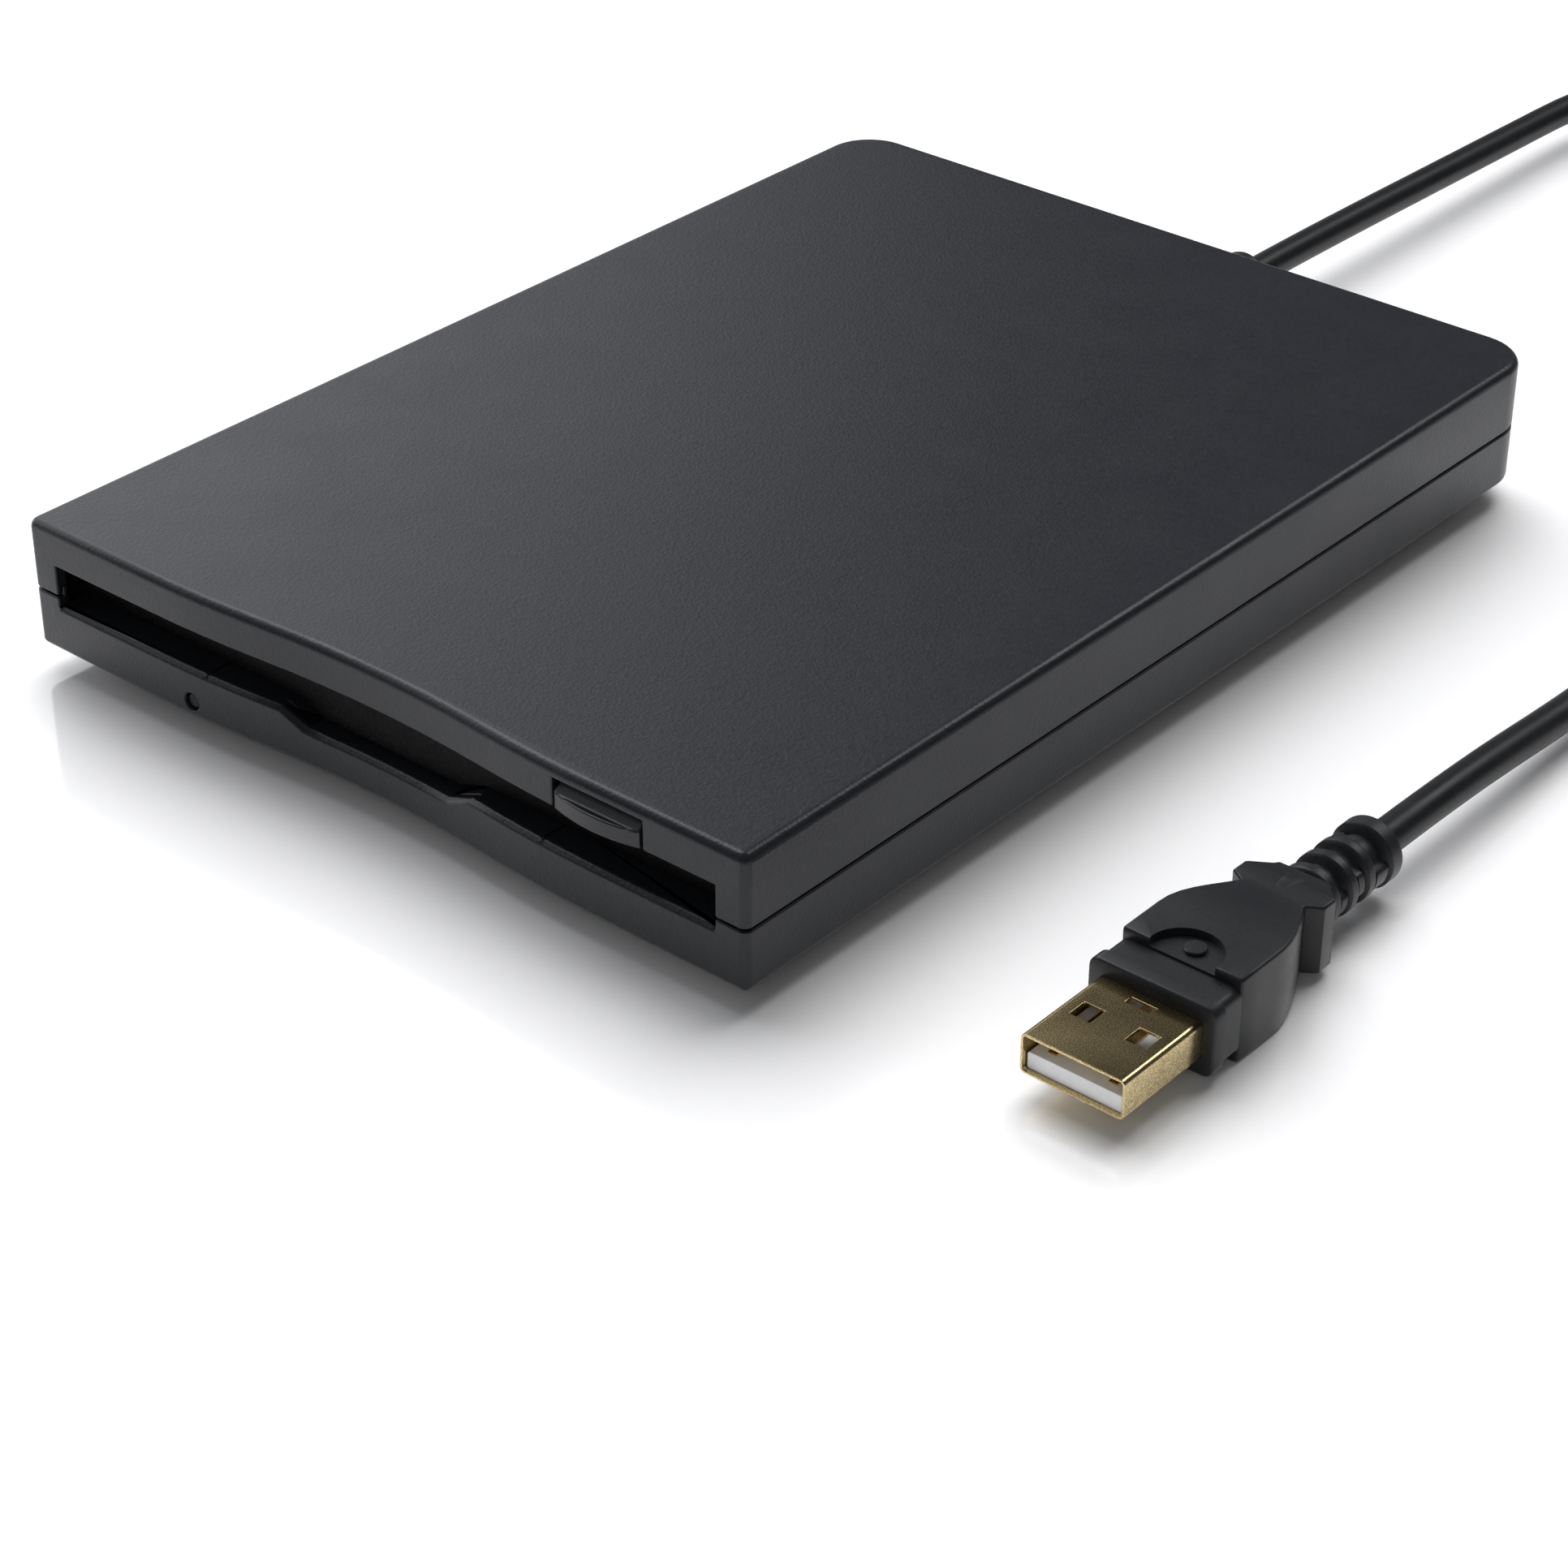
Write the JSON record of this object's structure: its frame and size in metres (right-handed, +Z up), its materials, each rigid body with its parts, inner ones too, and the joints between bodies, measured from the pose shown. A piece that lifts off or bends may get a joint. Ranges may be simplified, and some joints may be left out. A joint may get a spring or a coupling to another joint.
{
  "type": "external floppy disk drive",
  "caption": "Slim black external drive for 3.5 inch floppy disks, with a spring-loaded slot door, an eject button that moves the disk bay, and a coiled cord with a rectangular plug",
  "frame": {"origin": "on the surface it stands on, under the middle of the case, eject button included, cord left out", "axes": "+X right seen from the front, +Y from the slot to the back, +Z up"},
  "size_m": [0.1446, 0.2875, 0.0186],
  "materials": {
    "case_plastic": "fine leather grain, charcoal black",
    "door_plastic": "fine speckle, matte black",
    "button_plastic": "satin, charcoal black",
    "foot_rubber": "matte",
    "screw_steel": "zinc plated",
    "lens_plastic": "dark, clear gloss",
    "cord_vinyl": "smooth, satin gloss",
    "mould_vinyl": "satin, moulded",
    "shell_plate": "bead blasted, gold plated",
    "insulator_plastic": "white",
    "contact_gold": "gold plated",
    "zinc_sheet": "galvanised sheet",
    "bright_steel": "ground",
    "black_sheet": "black oxide",
    "copper_coil": "enamelled wire",
    "inner_plastic": "moulded",
    "head_ceramic": "glazed",
    "board_green": "solder mask",
    "chip_black": "moulded",
    "flex_film": "polyimide film",
    "lead_vinyl": "insulated leads",
    "tie_band": "coated band"
  },
  "bodies": {
    "case": {"top_cover": "case_plastic", "bottom_case": "case_plastic", "rubber_feet": "foot_rubber", "front_case_screws": "screw_steel", "rear_case_screws": "screw_steel", "unit_screws": "screw_steel", "led_lens": "lens_plastic", "lamp_board": "board_green", "drive_chassis": "zinc_sheet", "drive_cover": "zinc_sheet", "spindle_stator": "copper_coil", "stepper_motor": "zinc_sheet", "guide_rod": "bright_steel", "control_board": "board_green", "control_chips": "chip_black", "interface_board": "board_green", "interface_chips": "chip_black", "flex_cable": "flex_film", "disk_sensors": "chip_black", "cord_leads": "lead_vinyl", "cable_strain_relief": "mould_vinyl", "cord_to_coil": "cord_vinyl", "cord_coil": "cord_vinyl", "cord_to_plug": "cord_vinyl", "coil_tie": "tie_band", "plug_shell": "shell_plate", "plug_insulator": "insulator_plastic", "plug_contacts": "contact_gold", "plug_nose": "mould_vinyl", "plug_overmould": "mould_vinyl"},
    "door": {"slot_door": "door_plastic"},
    "eject_slider": {"slide_plate": "zinc_sheet", "eject_button": "button_plastic"},
    "holder": {"disk_holder": "zinc_sheet", "lever_pivot": "bright_steel"},
    "lever": {"shutter_lever": "inner_plastic"},
    "spindle": {"spindle_rotor": "zinc_sheet", "spindle_hub": "bright_steel"},
    "feed_screw": {"lead_screw": "bright_steel"},
    "carriage": {"head_carriage": "inner_plastic", "lower_head": "head_ceramic"},
    "upper_arm": {"upper_head_arm": "inner_plastic", "upper_head": "head_ceramic"}
  },
  "joints": [
    {"name": "eject_slide", "type": "slide", "parent": "case", "child": "eject_slider", "axis": [0, -1, 0], "range_m": [0, 0.005]},
    {"name": "holder_drop", "type": "slide", "parent": "case", "child": "holder", "axis": [0, 0, -1], "range_m": [0, 0.0025]},
    {"name": "lever_swing", "type": "hinge", "parent": "holder", "child": "lever", "pos_m": [0.038, 0.024, 0.0143], "axis": [0, 0, -1], "range_deg": [0, 40], "stiffness_Nm_per_rad": 0.01},
    {"name": "door_swing", "type": "hinge", "parent": "case", "child": "door", "pos_m": [0, -0.0675, 0.0143], "axis": [1, 0, 0], "range_deg": [0, 75], "stiffness_Nm_per_rad": 0.002},
    {"name": "spindle_turn", "type": "hinge", "parent": "case", "child": "spindle", "pos_m": [0, -0.018, 0.0064], "axis": [0, 0, 1], "continuous": true},
    {"name": "screw_turn", "type": "hinge", "parent": "case", "child": "feed_screw", "pos_m": [-0.024, 0.04, 0.009], "axis": [0, 1, 0], "range_deg": [0, 1800]},
    {"name": "carriage_slide", "type": "slide", "parent": "case", "child": "carriage", "axis": [0, -1, 0], "range_m": [0, 0.015]},
    {"name": "arm_lift", "type": "hinge", "parent": "carriage", "child": "upper_arm", "pos_m": [0, 0.051, 0.013], "axis": [1, 0, 0], "range_deg": [0, 8.3]}
  ],
  "couplings": [
    {"joint": "holder_drop", "follows": "eject_slide", "ratio": 0.5},
    {"joint": "arm_lift", "follows": "eject_slide", "rad_per_m": 28.97},
    {"joint": "screw_turn", "follows": "carriage_slide", "rad_per_m": 2094}
  ]
}
